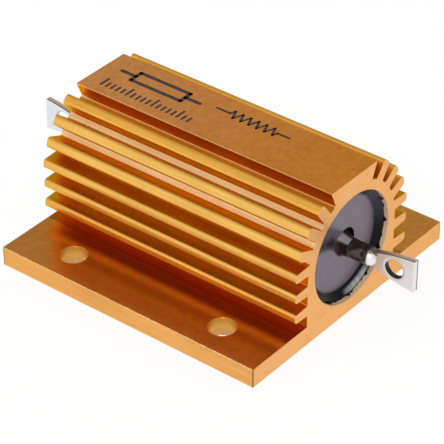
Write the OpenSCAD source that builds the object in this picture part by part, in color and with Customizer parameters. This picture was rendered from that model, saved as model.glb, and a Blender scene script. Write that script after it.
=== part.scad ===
// Aluminium housed power resistor.
// A wire-wound ceramic core is moulded into the bore of a short finned extrusion,
// and a flattened, drilled terminal pin comes out of each end.
// X runs along the bore, Y across the mounting plate and Z up from its underside.

/* [Housing] */
// Length of the extrusion, from sawn end to sawn end
housing_l = 48.7; // [44:0.1:62]
// Width across the mounting plate
housing_w = 47.5; // [42:0.1:60]
// Thickness of the mounting plate
plate_t = 3.3; // [2.6:0.1:4]
// Radius on the long edges of the mounting plate
plate_edge_r = 0.1; // [0.05:0.05:0.8]

/* [Bore] */
// Diameter of the bore that holds the element
bore_d = 18.4; // [16.5:0.1:24]
// Metal left under the bore
bore_floor = 2.35; // [1.5:0.05:4]
// Metal left above the bore, up to the flat top
bore_roof = 3.35; // [2.8:0.05:6]
// Metal left beside the bore, at the bottom of the grooves
bore_wall = 1.65; // [1.2:0.05:3]

/* [Fins] */
// Thickness of a fin at its root
fin_t = 1.8; // [1.3:0.05:2.2]
// Thickness of a fin at its tip
fin_tip_t = 1.5; // [1.2:0.05:2.1]
// Depth of the grooves between the fins
groove_depth = 3.0; // [2:0.05:3.6]
// Radius on the two corners of a fin's tip
fin_corner_r = 0.5; // [0.1:0.05:0.6]
// Radius in the bottom corners of the grooves
groove_corner_r = 0.2; // [0.1:0.05:0.4]
// Level fins on each side
level_fins = 3; // [1:1:3]
// Height of the top level fin over the bore's axis
level_fin_rise = 1.9; // [1.2:0.05:2]
// Height from one level fin to the next
level_fin_pitch = 3.6; // [3:0.05:3.7]
// Fanned fins on each side
fan_fins = 3; // [1:1:3]
// Slope of the lowest fanned fin
fan_start_angle = 23.5; // [21:0.5:24]
// Angle from one fanned fin to the next
fan_step_angle = 15.5; // [14:0.5:16]
// Extra reach of the upper corner of a fanned fin's tip
fan_tip_slant = 0.2; // [0:0.05:0.5]

/* [Top rib] */
// Width of the flat top that carries the marking
top_w = 11.3; // [8:0.1:12]
// Lean of the rib's sides, which makes it wider at the top
top_lean_angle = 16; // [4:0.5:18]
// Radius along the two edges of the flat top
top_edge_r = 0.1; // [0.05:0.05:0.5]

/* [Mounting holes] */
// Diameter of the four mounting holes
mount_hole_d = 4.4; // [3.5:0.1:5]
// Distance of a hole's centre from the sawn end
mount_hole_end = 9.85; // [6:0.05:12]
// Distance of a hole's centre from the side of the plate
mount_hole_side = 5.25; // [4:0.05:6]

/* [Moulded compound] */
// Depth of the compound's rim below the sawn end
rim_depth = 0.8; // [0.6:0.1:2]
// Width of the flat rim
rim_land = 0.1; // [0.1:0.05:0.6]
// Depth of the dish below the rim
dish_depth = 0.95; // [0.7:0.05:2]
// Inward run of the dish's sloped wall
dish_wall_run = 1.1; // [0.4:0.05:1.5]
// Diameter of the well round a pin, in the dish's floor
well_d = 4.6; // [4.4:0.1:5.4]
// Depth of the well
well_depth = 0.6; // [0.2:0.1:1]
// Distance of the well's centre from the bore's axis
well_offset = 0.6; // [0:0.1:0.6]
// Flash nibs around the rim
nib_count = 12; // [6:2:16]
// Width of a flash nib
nib_w = 0.5; // [0.3:0.05:0.8]
// Radial thickness of a flash nib
nib_t = 0.3; // [0.2:0.05:0.4]
// Reach of a flash nib towards the sawn end
nib_reach = 0.6; // [0.3:0.05:0.6]
// Clearance of the compound in the bore, on the radius
mould_gap = 0.05; // [0.02:0.01:0.1]

/* [Terminals] */
// Diameter of the round pin
pin_d = 3.0; // [2.4:0.1:3.1]
// Reach of a terminal past the sawn end
terminal_reach = 11.4; // [10:0.05:14]
// Thickness of the flattened blade
blade_t = 1.05; // [0.7:0.05:1.4]
// Height of the blade at its end
blade_h = 5.4; // [4.4:0.1:6]
// Length over which the blade flares out, from the pin to its end
flare_l = 6.7; // [5:0.1:8]
// Distance past the blade's end at which its curved sides would run level
flare_ease = 2.5; // [0.5:0.1:4]
// Radius of the run-out where the round pin is flattened
flatten_r = 2.5; // [2:0.1:4]
// Diameter of the hole in the blade
eyelet_d = 3.1; // [2:0.1:3.4]
// Distance of the hole's centre from the blade's end
eyelet_end = 3.55; // [2.6:0.05:4]
// Width of the bevel around the hole, on each face
eyelet_bevel_w = 0.35; // [0.1:0.05:0.4]
// Depth of that bevel
eyelet_bevel_depth = 0.2; // [0.05:0.01:0.3]

/* [Element] */
// Diameter of the ceramic core
core_d = 8.4; // [7:0.1:10]
// Distance of the core's end from the sawn end
core_end = 6.35; // [5:0.05:9]
// Bevel on the core's ends
core_bevel = 0.4; // [0.2:0.05:0.8]
// Thickness of an end cap's wall and end
cap_t = 0.7; // [0.65:0.05:1.2]
// Length of core that an end cap takes in
cap_grip = 4.4; // [3:0.1:6]
// Clearance between the core and a cap, on the radius
cap_gap = 0.02; // [0.01:0.01:0.05]
// Diameter of the resistance wire
wire_d = 0.5; // [0.3:0.05:0.5]
// Turns of resistance wire
wire_turns = 18; // [10:1:22]
// Room between the wire and the core, and between the wire and the caps
wire_gap = 0.1; // [0.1:0.01:0.12]
// Clearance of the compound round the element and the pins, on the radius
element_gap = 0.02; // [0.02:0.01:0.05]

/* [Hidden] */

CURVE = 96;            // facets that a preview draws in a full turn
ARC_STEPS = 4;         // sides of the arc that rounds a corner of the extrusion
WIRE_SIDES = 6;        // sides of the wire's section
WIRE_STEPS = 18;       // sections of the wire in each turn
EPS = 0.01;            // overrun of a cut past the face that it opens

bore_r = bore_d / 2;
axis_z = bore_floor + bore_r;
housing_h = axis_z + bore_r + bore_roof;
root_r = bore_r + bore_wall;
tip_r = root_r + groove_depth;
end_x = housing_l / 2;

compound_r = bore_r - mould_gap;
rim_x = end_x - rim_depth;
floor_x = rim_x - dish_depth;
dish_r = compound_r - rim_land;

core_r = core_d / 2;
core_x = end_x - core_end;
cap_bore_r = core_r + cap_gap;
cap_r = cap_bore_r + cap_t;
cap_outer_x = core_x + cap_t;
cap_inner_x = core_x - cap_grip;

pin_r = pin_d / 2;
terminal_x = end_x + terminal_reach;
flare_x = terminal_x - flare_l;
level_x = terminal_x + flare_ease;
eyelet_x = terminal_x - eyelet_end;
eyelet_r = eyelet_d / 2;
flare_rise = blade_h / 2 - pin_r;
flare_z = (blade_h / 2 + pin_r - flare_l * (flare_l + 2 * flare_ease) / flare_rise) / 2;
flare_r = norm([flare_ease, blade_h / 2 - flare_z]);
flatten_depth = pin_r - blade_t / 2;

wire_r = wire_d / 2;
wire_path_r = core_r + wire_gap + wire_r;
wire_x = cap_inner_x - wire_gap - wire_r;

// Turns its children, drawn with Z as their long axis, so that they lie along X at the height of the bore
module along_bore() {
    translate([0, 0, axis_z]) rotate([0, 90, 0]) children();
}

// Draws its children, made for the right-hand end, at the left-hand end
module left_end() {
    mirror([1, 0, 0]) children();
}

function unit(v) = v / norm(v);

// The arc that rounds corner b, between its neighbours a and c. Short sides limit its radius.
function corner_arc(a, b, c, radius) =
    let (to_a = unit(a - b),
         to_c = unit(c - b),
         half = acos(to_a * to_c) / 2,
         reach = min(radius / tan(half), min(norm(a - b), norm(c - b)) / 2 - EPS),
         centre = b + unit(to_a + to_c) * reach / cos(half),
         start = b + to_a * reach - centre,
         end = b + to_c * reach - centre,
         sweep = 180 - 2 * half)
    [for (k = [0:ARC_STEPS])
        let (t = k / ARC_STEPS)
        centre + (sin((1 - t) * sweep) * start + sin(t * sweep) * end) / sin(sweep)];

// A closed outline with every corner rounded. Each corner is [y, z, radius].
function rounded(corners) =
    let (last = len(corners) - 1, points = [for (c = corners) [c[0], c[1]]])
    [for (i = [0:last])
        each corner_arc(points[i == 0 ? last : i - 1], points[i],
                        points[i == last ? 0 : i + 1], corners[i][2])];

// A level fin's four corners, from its lower root to its upper root, at its height over the axis
function level_fin(rise) =
    let (upper = rise + fin_t / 2,
         upper_root = upper > 0 ? sqrt(root_r * root_r - upper * upper) : root_r)
    [[root_r, axis_z + rise - fin_t / 2, groove_corner_r],
     [tip_r, axis_z + rise - fin_tip_t / 2, fin_corner_r],
     [tip_r, axis_z + rise + fin_tip_t / 2, fin_corner_r],
     [upper_root, axis_z + upper, groove_corner_r]];

// A fanned fin's four corners in the same order, at its slope
function fan_fin(slope) =
    let (root = sqrt(root_r * root_r - fin_t * fin_t / 4),
         flat = [[root, -fin_t / 2, groove_corner_r],
                 [tip_r, -fin_tip_t / 2, fin_corner_r],
                 [tip_r + fan_tip_slant, fin_tip_t / 2, fin_corner_r],
                 [root, fin_t / 2, groove_corner_r]])
    [for (c = flat)
        [c[0] * cos(slope) - c[1] * sin(slope), axis_z + c[0] * sin(slope) + c[1] * cos(slope), c[2]]];

// The right side of the rib with the flat top. Its foot is where the leaning side meets the root circle.
function rib_side() =
    let (lean = tan(top_lean_angle),
         start = top_w / 2 - (housing_h - axis_z) * lean,
         a = 1 + lean * lean,
         b = start * lean,
         foot = (sqrt(b * b - a * (start * start - root_r * root_r)) - b) / a)
    [[start + foot * lean, axis_z + foot, groove_corner_r],
     [top_w / 2, housing_h, top_edge_r]];

// The right half of the extrusion's section, from the plate's foot up to the flat top
function half_section() = [
    [housing_w / 2, 0, plate_edge_r],
    [housing_w / 2, plate_t, plate_edge_r],
    [root_r, plate_t, groove_corner_r],
    for (k = [level_fins - 1:-1:0]) each level_fin(level_fin_rise - k * level_fin_pitch),
    for (k = [0:fan_fins - 1]) each fan_fin(fan_start_angle + k * fan_step_angle),
    each rib_side(),
];

// The extrusion's section, drawn with Y to the right and Z up
module housing_section() {
    right = half_section();
    left = [for (i = [len(right) - 1:-1:0]) [-right[i][0], right[i][1], right[i][2]]];
    difference() {
        polygon(rounded(concat(right, left)));
        translate([0, axis_z]) circle(bore_r, $fn = CURVE);
    }
}

module housing() {
    hole_x = end_x - mount_hole_end;
    hole_y = housing_w / 2 - mount_hole_side;
    color([0.80, 0.52, 0.24])
        difference() {
            translate([-end_x, 0, 0]) rotate([90, 0, 90])
                linear_extrude(housing_l) housing_section();
            for (x = [-hole_x, hole_x], y = [-hole_y, hole_y])
                translate([x, y, -EPS])
                    cylinder(h = plate_t + 2 * EPS, d = mount_hole_d, $fn = CURVE);
        }
}

// The dish at the right-hand end: a flat floor and a sloped wall up to the rim
module dish() {
    along_bore()
        translate([0, 0, floor_x])
            cylinder(h = dish_depth + EPS, r1 = dish_r - dish_wall_run, r2 = dish_r, $fn = CURVE);
}

// The round well in the right-hand dish's floor, which the pin comes out of
module well() {
    translate([floor_x - well_depth, well_offset, axis_z])
        rotate([0, 90, 0]) cylinder(h = well_depth + EPS, d = well_d, $fn = CURVE);
}

// The flash nibs of the right-hand end, which stand on the rim against the bore
module nibs() {
    along_bore()
        translate([0, 0, rim_x])
            intersection() {
                difference() {
                    cylinder(h = nib_reach, r = compound_r, $fn = CURVE);
                    translate([0, 0, -EPS])
                        cylinder(h = nib_reach + 2 * EPS, r = compound_r - nib_t, $fn = CURVE);
                }
                for (k = [0:nib_count / 2 - 1])
                    rotate(k * 360 / nib_count)
                        translate([-compound_r, -nib_w / 2, 0])
                            cube([2 * compound_r, nib_w, nib_reach]);
            }
}

module moulded_compound() {
    color([0.22, 0.22, 0.26])
        difference() {
            union() {
                difference() {
                    along_bore() cylinder(h = 2 * rim_x, r = compound_r, center = true, $fn = CURVE);
                    dish();
                    left_end() dish();
                    well();
                    rotate(180) well();
                }
                nibs();
                left_end() nibs();
            }
            along_bore() {
                cylinder(h = 2 * (cap_outer_x + element_gap), r = cap_r + element_gap,
                         center = true, $fn = CURVE);
                cylinder(h = housing_l, r = pin_r + element_gap, center = true, $fn = CURVE);
            }
        }
}

module ceramic_core() {
    straight_x = core_x - core_bevel;
    color([0.92, 0.90, 0.84])
        along_bore() {
            cylinder(h = 2 * straight_x, r = core_r, center = true, $fn = CURVE);
            for (side = [0, 1])
                mirror([0, 0, side]) translate([0, 0, straight_x])
                    cylinder(h = core_bevel, r1 = core_r, r2 = core_r - core_bevel, $fn = CURVE);
        }
}

// A point of the wire's surface: step counts along the helix and side counts round the section
function wire_point(step, side) =
    let (turn = 360 * step / WIRE_STEPS,
         around = 360 * side / WIRE_SIDES,
         radius = wire_path_r + wire_r * cos(around),
         advance = 2 * wire_x * step / (WIRE_STEPS * wire_turns))
    [advance - wire_x + wire_r * sin(around), radius * cos(turn), axis_z + radius * sin(turn)];

module resistance_winding() {
    last = WIRE_STEPS * wire_turns;
    points = [for (step = [0:last], side = [0:WIRE_SIDES - 1]) wire_point(step, side)];
    first_end = [for (side = [0:WIRE_SIDES - 1]) side];
    last_end = [for (side = [WIRE_SIDES - 1:-1:0]) last * WIRE_SIDES + side];
    walls = [
        for (step = [0:last - 1], side = [0:WIRE_SIDES - 1])
            let (a = step * WIRE_SIDES + side,
                 b = step * WIRE_SIDES + (side + 1) % WIRE_SIDES)
            for (face = [[a, a + WIRE_SIDES, b], [b, a + WIRE_SIDES, b + WIRE_SIDES]]) face
    ];
    color([0.72, 0.68, 0.62]) polyhedron(points, concat([first_end, last_end], walls));
}

// The cup at the right-hand end, pressed over the core
module end_cap() {
    color([0.66, 0.66, 0.68])
        along_bore()
            difference() {
                translate([0, 0, cap_inner_x])
                    cylinder(h = cap_outer_x - cap_inner_x, r = cap_r, $fn = CURVE);
                translate([0, 0, cap_inner_x - EPS])
                    cylinder(h = cap_grip + EPS, r = cap_bore_r, $fn = CURVE);
            }
}

module end_cap_right() {
    end_cap();
}

module end_cap_left() {
    left_end() end_cap();
}

// The blade's outline from the side, with X along the pin: two arcs that widen it up to its end
module blade_side() {
    intersection() {
        translate([flare_x, -blade_h / 2]) square([flare_l, blade_h]);
        translate([level_x, flare_z]) circle(flare_r, $fn = 2 * CURVE);
        translate([level_x, -flare_z]) circle(flare_r, $fn = 2 * CURVE);
    }
}

// What flattening takes from one side of the pin, seen from above: a curved run-out, then the blade's face
module flatten_outline() {
    translate([flare_x, blade_t / 2]) square([terminal_reach, flatten_depth + EPS]);
    translate([flare_x, blade_t / 2 + flatten_r]) circle(flatten_r, $fn = CURVE);
}

// The hole through the blade, with a bevel on each face
module eyelet_cut() {
    rotate([90, 0, 0]) cylinder(h = pin_d, r = eyelet_r, center = true, $fn = CURVE);
    for (side = [0, 1])
        mirror([0, side, 0])
            translate([0, blade_t / 2 - eyelet_bevel_depth, 0]) rotate([-90, 0, 0])
                cylinder(h = eyelet_bevel_depth, r1 = eyelet_r,
                         r2 = eyelet_r + eyelet_bevel_w, $fn = CURVE);
}

// The terminal of the right-hand end
module terminal() {
    color([0.80, 0.78, 0.76])
        translate([0, 0, axis_z])
            difference() {
                union() {
                    translate([cap_outer_x, 0, 0]) rotate([0, 90, 0])
                        cylinder(h = flare_x + blade_t - cap_outer_x, r = pin_r, $fn = CURVE);
                    translate([0, blade_t / 2, 0]) rotate([90, 0, 0])
                        linear_extrude(blade_t) blade_side();
                }
                for (side = [0, 1])
                    mirror([0, side, 0]) translate([0, 0, -blade_h])
                        linear_extrude(2 * blade_h) flatten_outline();
                translate([eyelet_x, 0, 0]) eyelet_cut();
            }
}

module terminal_right() {
    terminal();
}

module terminal_left() {
    left_end() terminal();
}

housing();
moulded_compound();
ceramic_core();
resistance_winding();
end_cap_left();
end_cap_right();
terminal_left();
terminal_right();
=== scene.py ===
"""The looks of an aluminium housed power resistor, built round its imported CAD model.

Everything is in metres, in the CAD model's own frame: X runs along the bore, Y across the mounting
plate and Z up from its underside. Sizes written in this file are millimetres, and MM turns them
into metres.
"""

import logging
import math
from dataclasses import dataclass
from enum import Enum

import bmesh
import bpy
import numpy as np
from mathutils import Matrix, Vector

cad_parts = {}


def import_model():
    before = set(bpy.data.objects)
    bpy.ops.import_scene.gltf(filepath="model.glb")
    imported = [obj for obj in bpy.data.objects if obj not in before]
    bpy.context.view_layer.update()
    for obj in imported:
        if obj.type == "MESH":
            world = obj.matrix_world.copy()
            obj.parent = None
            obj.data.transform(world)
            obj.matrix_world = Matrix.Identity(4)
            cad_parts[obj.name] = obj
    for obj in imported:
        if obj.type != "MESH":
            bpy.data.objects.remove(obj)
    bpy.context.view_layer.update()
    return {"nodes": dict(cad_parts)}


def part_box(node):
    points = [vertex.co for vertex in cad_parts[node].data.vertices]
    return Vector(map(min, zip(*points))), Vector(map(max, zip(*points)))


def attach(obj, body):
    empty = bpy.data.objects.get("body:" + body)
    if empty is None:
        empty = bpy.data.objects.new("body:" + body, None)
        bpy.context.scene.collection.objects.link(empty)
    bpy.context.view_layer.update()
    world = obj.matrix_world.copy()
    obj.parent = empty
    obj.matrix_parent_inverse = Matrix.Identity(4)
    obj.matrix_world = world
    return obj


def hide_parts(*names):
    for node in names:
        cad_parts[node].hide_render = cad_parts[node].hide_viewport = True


LOG = logging.getLogger("resistor")
MM = 0.001
BODY = "root"
FULL_TURN = 2 * math.pi

# How far up, and how far towards -Y, the painted highlight along the right-hand pin and sleeve faces.
RIDGE_UP, RIDGE_FRONT = 0.934, 0.358

# A Pair is two numbers that go together, such as a flat point. A Solid is its points and faces.
Colour = tuple[float, float, float]
Triple = tuple[float, float, float]
Pair = tuple[float, float]
Solid = tuple[np.ndarray, list]


# ---------------------------------------------------------------------------------------------
# Surfaces
# ---------------------------------------------------------------------------------------------


def grid_faces(rows: int, columns: int, close_rows: bool, close_columns: bool) -> np.ndarray:
    """Quads of a grid of points, stored row after row.

    Args:
        rows: Rows of points.
        columns: Points in a row.
        close_rows: Join the last row to the first.
        close_columns: Join the last point of a row to its first.

    Returns:
        An array of quads, four point numbers each.
    """
    row = np.arange(rows if close_rows else rows - 1)
    column = np.arange(columns if close_columns else columns - 1)
    r, c = (a.ravel() for a in np.meshgrid(row, column, indexing="ij"))
    r2, c2 = (r + 1) % rows, (c + 1) % columns
    return np.stack([r * columns + c, r2 * columns + c, r2 * columns + c2, r * columns + c2], 1)


def tube_faces(rows: int, columns: int) -> list[list[int]]:
    """Faces of a closed tube of rings, with a flat cap on its first and last ring.

    Args:
        rows: Rings along the tube.
        columns: Points in a ring.

    Returns:
        The wall's quads and the two caps.
    """
    last = (rows - 1) * columns
    caps = [list(range(columns)), [last + i for i in range(columns - 1, -1, -1)]]
    return grid_faces(rows, columns, False, True).tolist() + caps


def mesh_object(name: str, points: np.ndarray, faces: list) -> bpy.types.Object:
    """Makes an object from points in millimetres, with every face turned outwards.

    Args:
        name: The object's name.
        points: Points, three numbers each.
        faces: Lists of point numbers.

    Returns:
        The linked object, which sits at the origin.
    """
    mesh = bpy.data.meshes.new(name)
    mesh.from_pydata((np.asarray(points, float) * MM).tolist(), [], [list(f) for f in faces])
    mesh.update()
    made = bpy.data.objects.new(name, mesh)
    bpy.context.scene.collection.objects.link(made)
    face_outwards(made)
    return made


def face_outwards(piece: bpy.types.Object) -> None:
    """Turns the faces of a closed mesh, or of each closed part of one, outwards.

    Args:
        piece: The piece, whose mesh is changed.
    """
    shape = bmesh.new()
    shape.from_mesh(piece.data)
    bmesh.ops.recalc_face_normals(shape, faces=shape.faces)
    shape.to_mesh(piece.data)
    shape.free()


def join_parts(parts: list[Solid]) -> Solid:
    """Joins several sets of points and faces into one set.

    Args:
        parts: Pairs of points and faces.

    Returns:
        The joined points and faces.
    """
    points, faces, start = [], [], 0
    for part_points, part_faces in parts:
        points.append(part_points)
        faces += [[start + int(i) for i in face] for face in part_faces]
        start += len(part_points)
    return np.concatenate(points), faces


def rounded_outline(corners: np.ndarray, radii: np.ndarray, steps: int) -> np.ndarray:
    """A closed outline whose corners are true arcs.

    The arc at a corner touches both of its sides at radius / tan(half the corner's angle) from the
    corner, and its points turn at an even rate between the two directions from its centre.

    Args:
        corners: Corner points in order, two numbers each.
        radii: The radius wanted at each corner. A short side limits it.
        steps: Points in each arc.

    Returns:
        The outline's points in order.
    """
    before, after = np.roll(corners, 1, 0) - corners, np.roll(corners, -1, 0) - corners
    before_l, after_l = np.linalg.norm(before, axis=1), np.linalg.norm(after, axis=1)
    before, after = before / before_l[:, None], after / after_l[:, None]
    half = np.arccos(np.clip((before * after).sum(1), -1, 1)) / 2
    reach = np.minimum(radii / np.tan(half), 0.48 * np.minimum(before_l, after_l))
    radius = reach * np.tan(half)
    middle = before + after
    middle = middle / np.linalg.norm(middle, axis=1)[:, None]
    centre = corners + middle * (radius / np.sin(half))[:, None]
    start, end = corners + before * reach[:, None] - centre, corners + after * reach[:, None] - centre
    sweep = np.pi - 2 * half
    t = np.linspace(0, 1, steps)[None, :, None]
    s = sweep[:, None, None]
    arc = (np.sin((1 - t) * s) * start[:, None] + np.sin(t * s) * end[:, None]) / np.sin(s)
    return (centre[:, None] + arc).reshape(-1, 2)


def inset_outline(outline: np.ndarray, depth: float) -> np.ndarray:
    """Moves an outline's points inwards, each along the mean of its two sides' normals.

    Args:
        outline: Points in order, anticlockwise.
        depth: How far each point moves.

    Returns:
        The moved points.
    """
    side = np.roll(outline, -1, 0) - outline
    side = side / np.linalg.norm(side, axis=1)[:, None]
    normal = np.stack([-side[:, 1], side[:, 0]], 1)
    mean = normal + np.roll(normal, 1, 0)
    return outline + depth * mean / np.linalg.norm(mean, axis=1)[:, None]


def revolve(profile: np.ndarray, turns: int) -> Solid:
    """A closed solid turned about Z: each profile point (radius, height) becomes a ring.

    Args:
        profile: Points of radius and height, from one flat end to the other.
        turns: Points in a ring.

    Returns:
        Points and faces.
    """
    angle = np.arange(turns) * FULL_TURN / turns
    radius, height = profile[:, 0][:, None], profile[:, 1][:, None]
    points = np.stack([radius * np.cos(angle), radius * np.sin(angle), height + 0 * angle], -1)
    return points.reshape(-1, 3), tube_faces(len(profile), turns)


def along_x(points: np.ndarray, axis_z: float) -> np.ndarray:
    """Turns points made about Z so that they lie about X at the height axis_z."""
    return np.stack([points[:, 2], points[:, 1], axis_z - points[:, 0]], 1)


def mirrored(points: np.ndarray) -> np.ndarray:
    """The same points at the other end of the part."""
    return points * np.array([-1, 1, 1])


def cut(piece: bpy.types.Object, cutter: bpy.types.Object) -> None:
    """Takes a cutter's solids out of a piece for good, and removes the cutter.

    Args:
        piece: The piece to cut.
        cutter: An object of one or more closed solids.
    """
    step = piece.modifiers.new("cut", "BOOLEAN")
    step.operation, step.solver, step.object = "DIFFERENCE", "EXACT", cutter
    graph = bpy.context.evaluated_depsgraph_get()
    result = bpy.data.meshes.new_from_object(piece.evaluated_get(graph))
    piece.modifiers.clear()
    old, piece.data = piece.data, result
    bpy.data.meshes.remove(old)
    bpy.data.objects.remove(cutter)


def add_loose(piece: bpy.types.Object, parts: list[Solid]) -> None:
    """Adds closed parts, made for the right-hand end, to a piece at both of its ends.

    Args:
        piece: The piece to add to.
        parts: Pairs of points and faces.
    """
    both = parts + [(mirrored(points), faces) for points, faces in parts]
    extra = mesh_object("extra", *join_parts(both))
    shape = bmesh.new()
    shape.from_mesh(piece.data)
    shape.from_mesh(extra.data)
    shape.to_mesh(piece.data)
    shape.free()
    spare = extra.data
    bpy.data.objects.remove(extra)
    bpy.data.meshes.remove(spare)


def smooth(piece: bpy.types.Object, angle_deg: float) -> None:
    """Shades a piece smooth, with creases where two faces meet at more than the angle.

    Args:
        piece: The piece to shade.
        angle_deg: The angle in degrees.
    """
    mesh = piece.data
    mesh.shade_smooth()
    mesh.set_sharp_from_angle(angle=math.radians(angle_deg))
    weigh = piece.modifiers.new("even_normals", "WEIGHTED_NORMAL")
    weigh.keep_sharp = True
    weigh.weight = 100


# ---------------------------------------------------------------------------------------------
# Materials
# ---------------------------------------------------------------------------------------------


class Value:
    """A shader value: an output socket that can be added, multiplied and compared."""

    def __init__(self, graph: "Graph", socket: bpy.types.NodeSocket) -> None:
        """Keeps the graph, which makes the nodes, and the socket."""
        self.graph, self.socket = graph, socket

    def math(self, operation: str, *others: "Value | float") -> "Value":
        """A Math node of this value and the others."""
        return self.graph.node("ShaderNodeMath", {"operation": operation}, [self, *others])

    def __add__(self, other: "Value | float") -> "Value":
        """self + other, which is also other + self."""
        return self.math("ADD", other)

    def __sub__(self, other: "Value | float") -> "Value":
        """self - other."""
        return self.math("SUBTRACT", other)

    def __rsub__(self, other: float) -> "Value":
        """other - self."""
        return self.graph.node("ShaderNodeMath", {"operation": "SUBTRACT"}, [other, self])

    def __mul__(self, other: "Value | float") -> "Value":
        """self * other, which is also other * self."""
        return self.math("MULTIPLY", other)

    __radd__, __rmul__ = __add__, __mul__

    def __abs__(self) -> "Value":
        """The value without its sign."""
        return self.math("ABSOLUTE")

    def root(self) -> "Value":
        """The square root."""
        return self.math("SQRT")

    def maximum(self, other: "Value | float") -> "Value":
        """The larger of two values."""
        return self.math("MAXIMUM", other)

    def ramp(self, low: float, high: float) -> "Value":
        """A smooth ramp from 0 at low to 1 at high.

        Args:
            low: Where the ramp is 0.
            high: Where it is 1, above or below low.

        Returns:
            The ramp's value, which is level past both.
        """
        settings = {"interpolation_type": "SMOOTHSTEP"}
        if low <= high:
            return self.graph.node("ShaderNodeMapRange", settings, [self, low, high, 0.0, 1.0])
        return self.graph.node("ShaderNodeMapRange", settings, [self, high, low, 1.0, 0.0])

    def beside(self, output: str) -> "Value":
        """Another output of the node that this value comes from."""
        return Value(self.graph, self.socket.node.outputs[output])


class Graph:
    """Nodes made from expressions in one node tree."""

    def __init__(self, tree: bpy.types.NodeTree) -> None:
        """Keeps the tree that the nodes are made in."""
        self.tree = tree

    def node(self, kind: str, settings: dict, inputs: "list | dict",
             output: "int | str | None" = 0) -> "Value | None":
        """Makes one node.

        Args:
            kind: The node's type.
            settings: Properties, set before its sockets are used.
            inputs: Values for its sockets, in order or by name. None leaves a socket alone.
            output: The output to return, or None for a node without one.

        Returns:
            The chosen output.
        """
        made = self.tree.nodes.new(kind)
        for name, value in settings.items():
            setattr(made, name, value)
        pairs = inputs.items() if isinstance(inputs, dict) else enumerate(inputs)
        for key, value in pairs:
            if isinstance(value, Value):
                self.tree.links.new(value.socket, made.inputs[key])
            elif value is not None:
                made.inputs[key].default_value = value
        return None if output is None else Value(self, made.outputs[output])

    def parts(self, vector: Value) -> tuple[Value, Value, Value]:
        """A vector's x, y and z."""
        split = self.node("ShaderNodeSeparateXYZ", {}, [vector])
        return tuple(split.beside(axis) for axis in "XYZ")

    def stretch(self, point: Value, scale: Triple) -> Value:
        """The point with each axis scaled, which stretches a pattern along the small ones."""
        return self.node("ShaderNodeVectorMath", {"operation": "MULTIPLY"}, [point, scale])

    def noise(self, point: Value, scale: float, detail: float = 2.0, rough: float = 0.5) -> Value:
        """Soft noise from about 0.3 to 0.7, with features 1 / scale millimetres apart."""
        inputs = {"Vector": point, "Scale": scale, "Detail": detail, "Roughness": rough}
        return self.node("ShaderNodeTexNoise", {}, inputs)

    def mix(self, factor: "Value | float", low: "Value | tuple", high: "Value | tuple") -> Value:
        """A colour between low, at factor 0, and high, at factor 1.

        Args:
            factor: A mask or a number, held between 0 and 1.
            low: The colour at factor 0.
            high: The colour at factor 1.

        Returns:
            The colour between them.
        """
        settings = {"data_type": "RGBA", "clamp_factor": True}
        made = self.node("ShaderNodeMix", settings, {"Factor": factor}, 2)
        node = made.socket.node
        for socket, value in ((node.inputs[6], low), (node.inputs[7], high)):
            if isinstance(value, Value):
                self.tree.links.new(value.socket, socket)
            else:
                socket.default_value = (*value, 1.0)
        return made

    def layers(self, base: "Value | Colour", *coats: "tuple[Value, Value | Colour]") -> Value:
        """Colours laid over a base one after another.

        Args:
            base: The colour underneath.
            coats: Pairs of a mask and the colour that covers what is there where the mask is 1.

        Returns:
            The colour that shows.
        """
        for mask, colour in coats:
            base = self.mix(mask, base, colour)
        return base

    def bump(self, height: Value, distance_mm: float, strength: float = 1.0,
             below: "Value | None" = None) -> Value:
        """A normal bent by a height from 0 to 1, which stands for distance_mm.

        Args:
            height: The height.
            distance_mm: How far a height of 1 stands out.
            strength: How far the normal follows it.
            below: A bump that this one lies on.

        Returns:
            The bent normal.
        """
        inputs = {"Height": height, "Distance": distance_mm * MM, "Strength": strength}
        if below is not None:
            inputs["Normal"] = below
        return self.node("ShaderNodeBump", {}, inputs)


class Shading(Graph):
    """The nodes of one material, which holds one Principled shader."""

    def __init__(self, name: str) -> None:
        """Starts the material.

        Args:
            name: The material's name.
        """
        self.material = bpy.data.materials.new(name)
        self.material.use_nodes = True
        super().__init__(self.material.node_tree)
        self.shader = self.tree.nodes["Principled BSDF"]
        self.output = self.tree.nodes["Material Output"]

    def place(self) -> tuple[Value, Value, Value, Value]:
        """The point on the piece in millimetres, whole and as x, y and z.

        Returns:
            The point and its three parts.
        """
        coordinates = self.node("ShaderNodeTexCoord", {}, [], "Object")
        point = self.node("ShaderNodeVectorMath", {"operation": "SCALE"},
                          {"Vector": coordinates, "Scale": 1 / MM})
        return point, *self.parts(point)

    def finish(self, constants: dict, varying: dict) -> bpy.types.Material:
        """Sets the shader's plain sockets and links what changes over the surface.

        Args:
            constants: Numbers and colours by socket name.
            varying: Values by socket name.

        Returns:
            The material.
        """
        for name, value in constants.items():
            self.shader.inputs[name].default_value = value
        for name, value in varying.items():
            self.tree.links.new(value.socket, self.shader.inputs[name])
        return self.material


@dataclass(frozen=True)
class Faces:
    """Masks of the housing's kinds of face, each 1 on its kind and 0 elsewhere."""

    end: Value
    outer: Value
    plate_top: Value
    hole: Value
    groove_floor: Value
    rib_side: Value
    top: Value
    bore: Value


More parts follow.
